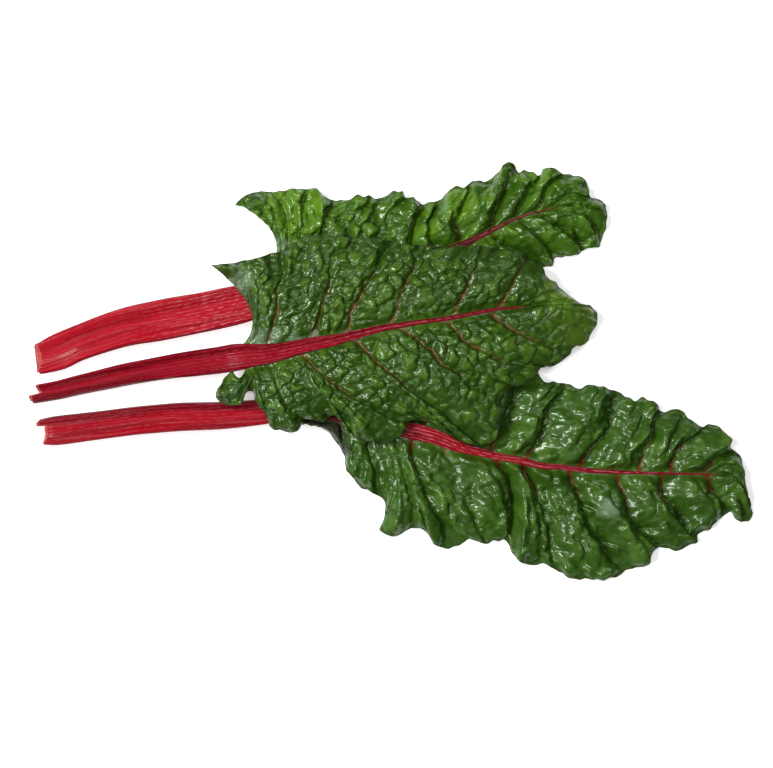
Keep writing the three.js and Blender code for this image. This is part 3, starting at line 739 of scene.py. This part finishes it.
def blade_surface(leaf_name, look, seed):
    """The blade's points in mm, in rows from the midrib to the margin, and its colours' numbers."""
    # In plan, each column is a curve through its inner end, its middle and its outer end.
    (number, inner, inner_z, middle, edge, lift), is_near = blade_columns(leaf_name)
    v = np.linspace(0, 1, ROWS + 1)[:, None, None]
    plan = (1 - v) * (1 - 2 * v) * inner + 4 * v * (1 - v) * middle + v * (2 * v - 1) * edge
    v = v[:, :, 0]
    outward = plan[-1] - plan[-8]
    outward /= np.linalg.norm(outward, axis=1)[:, None]
    arc = travelled(plan, 1)[-1]
    scallop = look["scallop"] * soft_noise(arc / NOTCH_SPACING, 0 * arc, seed + 14)
    plan = plan + (smooth_step(v, 0.8, 1) * scallop)[:, :, None] * outward
    x, y = plan[:, :, 0], plan[:, :, 1]

    def patches(size, extra):
        return soft_noise(x / size, y / size, seed + extra)

    down = travelled(plan, 0)
    from_rim = down[-1] - down
    along_rim = travelled(plan, 1)[-1][None, :] + 0 * v
    # How far apart the side veins are at each point, and how the ridges between them stray.
    pace = np.abs(np.gradient(number))[None, :].clip(1e-6)
    sideways = np.gradient(plan, axis=1)
    lengthways = np.gradient(plan, axis=0)
    stride = np.abs(sideways[:, :, 0] * lengthways[:, :, 1] - sideways[:, :, 1] * lengthways[:, :, 0])
    stride /= np.linalg.norm(lengthways, axis=2) + 1e-9
    spacing = stride / pace
    room = smooth_step(spacing, 3, 12)
    bend = look["wander"] * patches(12, 0) + 0.045 * patches(3, 17)
    bend *= smooth_step(down, 2, 14)
    slant = np.interp(number, *zip(*look["slant"]))[None, :] * ~is_near
    wander = number[None, :] + bend + slant * (1 - v) * smooth_step(down, 1, 30)
    # Grooves on the veins, creases between them, and folds that run out with them.
    depths = [[vein[5] for vein in LEAVES[leaf_name][half]] for half in ("far", "near")]
    by_half = [near_veins(listed, wander, look["skew"], look["roundness"]) for listed in depths]
    sunk, depth, to_vein, whole, share = (np.where(is_near, near, far) for far, near in zip(*by_half))
    vein_distance = to_vein * np.minimum(spacing, WIDEST_SPACING)
    ridge = 1 - sunk
    groove = depth * np.exp(-(vein_distance / GROOVE_WIDTH) ** 2) * room
    crease = creases(whole + MOST_SPANS * is_near, share, spacing, v, seed + 6) * room
    fold_spacing, fold_length = look["folds"]
    fold_place = np.cumsum(stride[len(stride) // 2]) / fold_spacing + 2 * bend
    fold_place = fold_place + 0.3 * patches(6, 12)
    wrinkle = np.hypot(soft_noise(fold_place, down / fold_length, seed + 11), 0.06)
    # Large blisters, drawn out along the grain, and small ones, all with uneven borders.
    warp_x = patches(8, 1) + 0.5 * patches(3.2, 9)
    warp_y = patches(8, 8) + 0.5 * patches(3.2, 10)
    far_grain, near_grain = look["grain"]
    angle = np.radians(np.where(is_near, near_grain, far_grain))
    grain_along = x * np.cos(angle) + y * np.sin(angle)
    grain_across = y * np.cos(angle) - x * np.sin(angle)
    cell_width, cell_length = look["cell"]
    border, worth = cells(grain_across / cell_width + 0.3 * warp_x,
                          grain_along / cell_length + 0.3 * warp_y, seed + 2)
    small = look["small_cell"]
    fine_border, fine_worth = cells(x / small + 0.5 * warp_y, y / small + 0.5 * warp_x, seed + 3)
    blister = dome(border, look["soft"]) * (0.3 + 0.9 * worth)
    fine = dome(fine_border, 0.55) * fine_worth ** 1.3
    # Where all of this is weaker or stronger.
    kinds = ("puffed", "young", "pale_sheen", "painted_shade")
    placed = {kind: within(plan, PLACES[leaf_name].get(kind, [])) for kind in kinds}
    puffed = placed["puffed"]
    smooth_tip = 1 - 0.75 * smooth_step(x, *look["smooth_from"])
    calm = sum((beyond_fold(plan, fold) for fold in FOLDS.get(leaf_name, [])), 0 * x)
    lively = 1 - 0.7 * calm
    rooted = smooth_step(down, 0, 6)
    near_root = smooth_step(down, 0, 3)
    beside = smooth_step(vein_distance, 0, 2.2)
    fading = rooted * (1 - 0.35 * smooth_step(v, 0.6, 1))
    uneven = 1 + 0.35 * soft_noise(wander * 0.9 + 17 * is_near, 1.5 * v, seed + 13)
    # The relief is the sum of them.
    relief = look["ridge"] * fading * (ridge - 0.6) * room * uneven * (1 - 0.65 * puffed)
    relief -= look["crease"] * crease * rooted
    relief += look["wrinkle"] * (wrinkle - 0.35) * rooted * room * lively
    relief -= look["groove"] * groove * near_root
    relief += (look["blister"] * blister * rooted * (0.25 + 0.75 * beside)
               * (lively + 0.9 * puffed) * (0.5 + 0.5 * smooth_tip))
    relief += look["small_blister"] * fine * near_root * lively * smooth_tip
    relief += look["lump"] * patches(2.4, 7) * rooted * smooth_tip
    streak = soft_noise(x / 1.3, y / 14, seed + 16) * calm
    relief += 0.6 * streak
    # The arch of the half, the waves of its margin, and the folds.
    wave = 2 * np.pi * along_rim / look["wave"] + 2.2 * soft_noise(along_rim / 30, 0 * along_rim, seed + 4)
    ruffle = look["ruffle"] * v ** 3 * (np.sin(wave) + 0.5 * np.sin(2.3 * wave + 1))
    frill = look["frill"] * smooth_step(v, 0.86, 1)
    frill = frill * soft_noise(along_rim / FRILL_SPACING, 0 * along_rim, seed + 5)
    curl = look["curl"] * (1 - smooth_step(from_rim, 0, CURL_REACH)) * smooth_step(down, 4, 12)
    height = inner_z * (1 - v) + lift * v + look["crown"] * np.sin(np.pi * v) * rooted
    height = height + relief + ruffle + frill - curl
    for fold in FOLDS.get(leaf_name, []):
        height -= fold["fall"] * beyond_fold(plan, fold)
    # High ridges tip over toward the tip.
    run = np.gradient(plan, axis=1)
    run /= np.linalg.norm(run, axis=2)[:, :, None] + 1e-9
    toward_tip = np.where(is_near, -1, 1)[None, :, None] * run
    lean = look["lean"] * relief * room * smooth_step(v, 0.03, 0.2) * (1 - smooth_step(v, 0.93, 1))
    points = np.dstack([plan + toward_tip * lean[:, :, None], np.maximum(height, LOWEST)])
    # The numbers for the colours.
    vein_width = look["vein_width"] * (1.15 - v) + 0.8 * np.exp(-down / 2.5)
    beaded = 0.85 + 0.35 * patches(2, 18)
    vein = depth * np.exp(-(vein_distance / vein_width) ** 2) * room * beaded.clip(0, 1)
    vein *= 1 - smooth_step(down / (depth + 0.01) ** 2, 0.5 * look["vein_reach"], 1.3 * look["vein_reach"])
    netted = look["net"] * (1 - smooth_step(border, 0, 0.2))
    patchy = 0.65 + 0.5 * patches(7, 15)
    # Grooves, creases, the lines between blisters and the fold's streaks are darkened in colour: painted
    # shade.
    painted_crease_shade = (0.7 * groove + 0.5 * crease) * patchy + netted + 0.6 * streak
    numbers = {
        "painted_crease_shade": np.clip(painted_crease_shade, 0, 1) * rooted,
        # Crest: where blister tops are painted lighter, partly their own paler tissue, partly painted
        # highlight.
        "crest": np.clip(0.5 * ridge * blister + 0.6 * blister, 0, 1),
        "vein": vein,
        "small_vein_shade": look["net"] * (1 - smooth_step(border, 0.015, 0.09)) * smooth_step(down, 0, 2),
        "worth": worth * (1 - calm) + 0.5 * calm,
        "rim": 1 - smooth_step(from_rim, 0.3, 1.3),
        "young": placed["young"],
        # Pale: painted sheen, also on the fold's fallen side.
        "pale_sheen": np.maximum(placed["pale_sheen"], CALM_SHEEN * calm),
        # Dusk: painted shade, also on the fold's fallen side.
        "painted_shade": np.maximum(placed["painted_shade"], CALM_SHADE * calm),
    }
    return points, numbers


print("blade surface ready")

# %% Blade builder
BLADE_THICKNESS = 0.55 * MM


def make_blade(leaf_name, material, seed):
    points, numbers = blade_surface(leaf_name, LOOKS[leaf_name], seed)
    bm = bmesh.new()
    bmesh.ops.create_grid(bm, x_segments=COLUMNS, y_segments=ROWS, size=0.5)
    mesh = bpy.data.meshes.new(f"{leaf_name}_blade")
    bm.to_mesh(mesh)
    bm.free()
    flat = np.empty(3 * len(mesh.vertices))
    mesh.vertices.foreach_get("co", flat)
    flat = flat.reshape(-1, 3) + 0.5
    column = np.rint(flat[:, 0] * COLUMNS).astype(int)
    row = np.rint(flat[:, 1] * ROWS).astype(int)
    mesh.vertices.foreach_set("co", (points[row, column] * MM).ravel())
    for name, values in numbers.items():
        layer = mesh.attributes.new(name, "FLOAT", "POINT")
        layer.data.foreach_set("value", values[row, column].astype(np.float32))
    piece = finish_object(leaf_name, "blade", mesh, material)
    wall = piece.modifiers.new("thickness", "SOLIDIFY")
    wall.thickness = BLADE_THICKNESS
    wall.offset = -1
    wall.use_rim = True
    print(piece.name, "faces:", len(mesh.polygons), "height, mm:", round(points[:, :, 2].max(), 1))


# %% [markdown]
# ## The finish of leaf and stalk
# A fresh leaf is not one green. Its sunken lines are painted dark as painted shade, its blister tops are
# painted lighter and yellower, partly their own paler tissue and partly painted highlight, and red sap
# colours the veins. Some places get a painted silver-green sheen and some painted shade. Its skin is
# waxy, so it glints. One group of nodes mixes these from the numbers that the blade carries, and each
# leaf gives the group its own greens. The stalk's group draws long fibres along the stalk instead, with
# painted highlights on its rib crests and painted shade on its sunken band.

# %% Node helpers
def put(tree, kind, inputs=None, **settings):
    made = tree.nodes.new(kind)
    for name, value in settings.items():
        setattr(made, name, value)
    for socket, value in (inputs or {}).items():
        if isinstance(value, bpy.types.NodeSocket):
            tree.links.new(value, made.inputs[socket])
        else:
            made.inputs[socket].default_value = value
    return made


def blend(tree, factor, first, second, how="MIX"):
    inputs = {0: factor, 6: first, 7: second}
    return put(tree, "ShaderNodeMix", inputs, data_type="RGBA", blend_type=how).outputs[2]


def calculate(tree, operation, first, second):
    return put(tree, "ShaderNodeMath", {0: first, 1: second}, operation=operation).outputs[0]


def product(tree, first, second):
    return calculate(tree, "MULTIPLY", first, second)


def stretch(tree, value, low, high, new_low=0.0, new_high=1.0):
    inputs = {"Value": value, "From Min": low, "From Max": high, "To Min": new_low, "To Max": new_high}
    return put(tree, "ShaderNodeMapRange", inputs, interpolation_type="SMOOTHSTEP").outputs["Result"]


def carried(tree, name):
    return put(tree, "ShaderNodeAttribute", attribute_name=name).outputs["Fac"]


def noise(tree, place, scale, detail):
    inputs = {"Vector": place, "Scale": scale, "Detail": detail}
    return put(tree, "ShaderNodeTexNoise", inputs).outputs["Fac"]


def paint(tree, tone, name, strength, colour):
    """The colour laid over the tone as far as the number that the piece carries says."""
    return blend(tree, product(tree, carried(tree, name), strength), tone, colour)


def start_group(name, colours, strength):
    """A node group that is given some colours and a strength, with its inputs and outputs."""
    tree = bpy.data.node_groups.new(name, "ShaderNodeTree")
    sockets = [(label, "INPUT", "Color") for label in colours]
    sockets += [(strength, "INPUT", "Float"), ("Colour", "OUTPUT", "Color")]
    sockets += [(label, "OUTPUT", "Float") for label in ("Roughness", "Shine", "Height")]
    for label, way, kind in sockets:
        tree.interface.new_socket(name=label, in_out=way, socket_type=f"NodeSocket{kind}")
    return tree, tree.nodes.new("NodeGroupInput").outputs, tree.nodes.new("NodeGroupOutput").inputs


def end_group(tree, result, colour, roughness, shine, height):
    for socket, value in zip(result, (colour, roughness, shine, height)):
        tree.links.new(value, socket)
    print("group", tree.name, "nodes:", len(tree.nodes))
    return tree


print("node helpers ready")

# %% Leaf tissue
PAINTED_SHEEN_GREEN = (0.24, 0.34, 0.21, 1)
PAINTED_SHADE_PURPLE = (0.02, 0.015, 0.015, 1)
RIM_BROWN = (0.03, 0.03, 0.014, 1)
RIM_STRENGTH = 0.55
PATCH_SCALE = 38.0
LUMP_SCALE = 420.0


def scaled(tree, colour, amount):
    grey = put(tree, "ShaderNodeCombineColor", {0: amount, 1: amount, 2: amount}).outputs[0]
    return blend(tree, 1.0, colour, grey, "MULTIPLY")


def build_tissue():
    colours = ["Painted_Shade_Green", "Flesh", "Crest_And_Highlight", "Young", "Vein"]
    tree, given, result = start_group("leaf_tissue", colours, "Vein Strength")
    place = put(tree, "ShaderNodeTexCoord").outputs["Object"]
    patch = noise(tree, place, PATCH_SCALE, 3.0)
    lump = noise(tree, place, LUMP_SCALE, 3.0)
    # Blister tops are painted lighter: partly their own paler tissue, partly painted highlight.
    crest = calculate(tree, "ADD", carried(tree, "crest"), stretch(tree, patch, 0.3, 0.7, -0.25, 0.2))
    tone = blend(tree, stretch(tree, crest, 0.15, 1.0), given["Flesh"], given["Crest_And_Highlight"])
    tone = paint(tree, tone, "young", stretch(tree, patch, 0.3, 0.7, 0.4, 1), given["Young"])
    # Painted sheen: a silver-green reflection laid on the pale places and on the fold's fallen side.
    tone = paint(tree, tone, "pale_sheen", 0.4, PAINTED_SHEEN_GREEN)
    tone = scaled(tree, tone, stretch(tree, carried(tree, "worth"), 0, 1, 0.93, 1.07))
    tone = scaled(tree, tone, stretch(tree, lump, 0.3, 0.7, 0.86, 1.14))
    # Painted shade, dark green, in the grooves, the creases and the lines between blisters.
    tone = paint(tree, tone, "painted_crease_shade", 0.65, given["Painted_Shade_Green"])
    # The thin lines between blisters are painted darker: painted shade in their creases.
    tone = paint(tree, tone, "small_vein_shade", 0.4, given["Painted_Shade_Green"])
    # Painted shade, nearly black, where another leaf shades this one and on the fold's fallen side.
    tone = paint(tree, tone, "painted_shade", 0.85, PAINTED_SHADE_PURPLE)
    tone = paint(tree, tone, "rim", RIM_STRENGTH, RIM_BROWN)
    tone = paint(tree, tone, "vein", given["Vein Strength"], given["Vein"])
    rim = product(tree, carried(tree, "rim"), RIM_STRENGTH)
    dull = calculate(tree, "MAXIMUM", carried(tree, "painted_crease_shade"), rim)
    dull = calculate(tree, "MAXIMUM", dull, carried(tree, "painted_shade"))
    wet = calculate(tree, "SUBTRACT", 1.0, dull)
    wet = product(tree, stretch(tree, lump, 0.36, 0.6, 0.17, 0.43), wet)
    return end_group(tree, result, tone, stretch(tree, patch, 0.3, 0.75, 0.34, 0.48), wet, lump)


BUMP_DISTANCE = 0.6 * MM
LEAF_BUMP = 0.35
LEAF_SKIN = {"Specular IOR Level": 0.26, "Specular Tint": (0.75, 1, 0.55, 1), "Coat Roughness": 0.1}


def finish_material(name, group, values, skin, bump_strength):
    """A material in which the group gives what varies and skin gives what is the same all over."""
    material = bpy.data.materials.new(name)
    material.use_nodes = True
    tree = material.node_tree
    shader = tree.nodes["Principled BSDF"]
    finish = put(tree, "ShaderNodeGroup", values, node_tree=group)
    bump = {"Height": finish.outputs["Height"], "Distance": BUMP_DISTANCE, "Strength": bump_strength}
    for label, socket in (("Colour", "Base Color"), ("Roughness", "Roughness"), ("Shine", "Coat Weight")):
        tree.links.new(finish.outputs[label], shader.inputs[socket])
    tree.links.new(put(tree, "ShaderNodeBump", bump).outputs["Normal"], shader.inputs["Normal"])
    for socket, value in skin.items():
        shader.inputs[socket].default_value = value
    return material


leaf_tissue = build_tissue()
# The first row is the dark green of painted shade, the third the light green of blister tops, partly
# painted highlight.
GREENS = by_leaf({
    "Painted_Shade_Green": ((0.006, 0.024, 0.001, 1), (0.005, 0.016, 0.001, 1), (0.004, 0.014, 0.001, 1)),
    "Flesh": ((0.033, 0.09, 0.004, 1), (0.019, 0.053, 0.002, 1), (0.025, 0.071, 0.004, 1)),
    "Crest_And_Highlight": ((0.062, 0.145, 0.008, 1), (0.042, 0.1, 0.006, 1), (0.045, 0.107, 0.01, 1)),
    "Young": ((0.09, 0.2, 0.01, 1), (0.095, 0.175, 0.013, 1), (0.12, 0.25, 0.012, 1)),
    "Vein": ((0.13, 0.008, 0.008, 1), (0.15, 0.018, 0.012, 1), (0.2, 0.005, 0.012, 1)),
    "Vein Strength": (0.5, 0.85, 0.9),
})
blade_materials = {
    name: finish_material(f"{name}_blade_green", leaf_tissue, greens, LEAF_SKIN, LEAF_BUMP)
    for name, greens in GREENS.items()
}

# %% Stalk skin
EDGE_AND_SHADE_PURPLE = (0.07, 0.006, 0.014, 1)
CUT_PINK = (0.42, 0.11, 0.09, 1)
STALK_BUMP = 0.5
STALK_SKIN = {"Specular IOR Level": 0.09, "Specular Tint": (1, 0.45, 0.5, 1), "Coat Roughness": 0.1}


def fibres(tree, across, along, top, detail):
    """Noise that changes so many times over 10 mm across, 100 mm along and from below to the top."""
    place = put(tree, "ShaderNodeCombineXYZ", {
        0: product(tree, carried(tree, "across"), across),
        1: product(tree, carried(tree, "along"), along),
        2: product(tree, carried(tree, "top"), top),
    }).outputs[0]
    return noise(tree, place, 1.0, detail)


def build_skin():
    tree, given, result = start_group("stalk_skin", ["Deep", "Bright", "Pale", "Midrib"], "Pale Strength")
    fibre = fibres(tree, 14.0, 2.2, 1.5, 3.0)
    broad = fibres(tree, 3.0, 1.4, 1.0, 2.0)
    dash = fibres(tree, 16.0, 26.0, 1.0, 2.0)
    tone = blend(tree, stretch(tree, broad, 0.3, 0.6, 0.3, 1.0), given["Deep"], given["Bright"])
    # The sunken band is painted deep red: painted shade on the wall that faces away from the light.
    tone = paint(tree, tone, "shaded_band", 0.75, given["Deep"])
    tone = paint(tree, tone, "midrib", 1.0, given["Midrib"])
    tone = blend(tree, stretch(tree, fibre, 0.22, 0.42, 0.5, 0.0), tone, given["Deep"])
    # Pale streaks: the stalk's own pale fibres, and painted highlights on the crests of the ribs on top.
    streak = product(tree, carried(tree, "rib_crest_highlight"), stretch(tree, dash, 0.42, 0.62))
    streak = calculate(tree, "ADD", streak, stretch(tree, fibre, 0.52, 0.8, 0.0, 0.5))
    pale_sheen = calculate(tree, "MINIMUM", product(tree, streak, given["Pale Strength"]), 0.9)
    tone = blend(tree, pale_sheen, tone, given["Pale"])
    # Edge: darker purple at the stalk's sides, and painted shade where a blade shades the stalk.
    tone = paint(tree, tone, "edge", 0.5, EDGE_AND_SHADE_PURPLE)
    tone = paint(tree, tone, "cut", stretch(tree, fibre, 0.3, 0.6, 0.35, 0.9), CUT_PINK)
    roughness = stretch(tree, broad, 0.3, 0.7, 0.34, 0.46)
    return end_group(tree, result, tone, roughness, stretch(tree, fibre, 0.3, 0.6, 0.01, 0.1), fibre)


stalk_skin = build_skin()
REDS = by_leaf({
    "Deep": ((0.2, 0.002, 0.006, 1), (0.1, 0.001, 0.004, 1), (0.13, 0.002, 0.006, 1)),
    "Bright": ((0.345, 0.004, 0.013, 1), (0.22, 0.001, 0.008, 1), (0.29, 0.002, 0.009, 1)),
    "Pale": ((0.6, 0.2, 0.22, 1), (0.42, 0.1, 0.12, 1), (0.56, 0.2, 0.22, 1)),
    "Midrib": ((0.08, 0.01, 0.008, 1), (0.15, 0.003, 0.01, 1), (0.17, 0.003, 0.009, 1)),
    "Pale Strength": (0.45, 0.36, 0.52),
})
stalk_materials = {
    name: finish_material(f"{name}_stalk_red", stalk_skin, reds, STALK_SKIN, STALK_BUMP)
    for name, reds in REDS.items()
}

# %% [markdown]
# ## Growing the three leaves
# Each leaf gets its own seed, so no two have the same blisters, and every run gives the same three.

# %% Three leaves
SEEDS = {"upper": 11, "middle": 23, "lower": 37}
for leaf_name, seed in SEEDS.items():
    make_stalk(leaf_name, stalk_materials[leaf_name], seed)
    make_blade(leaf_name, blade_materials[leaf_name], seed)
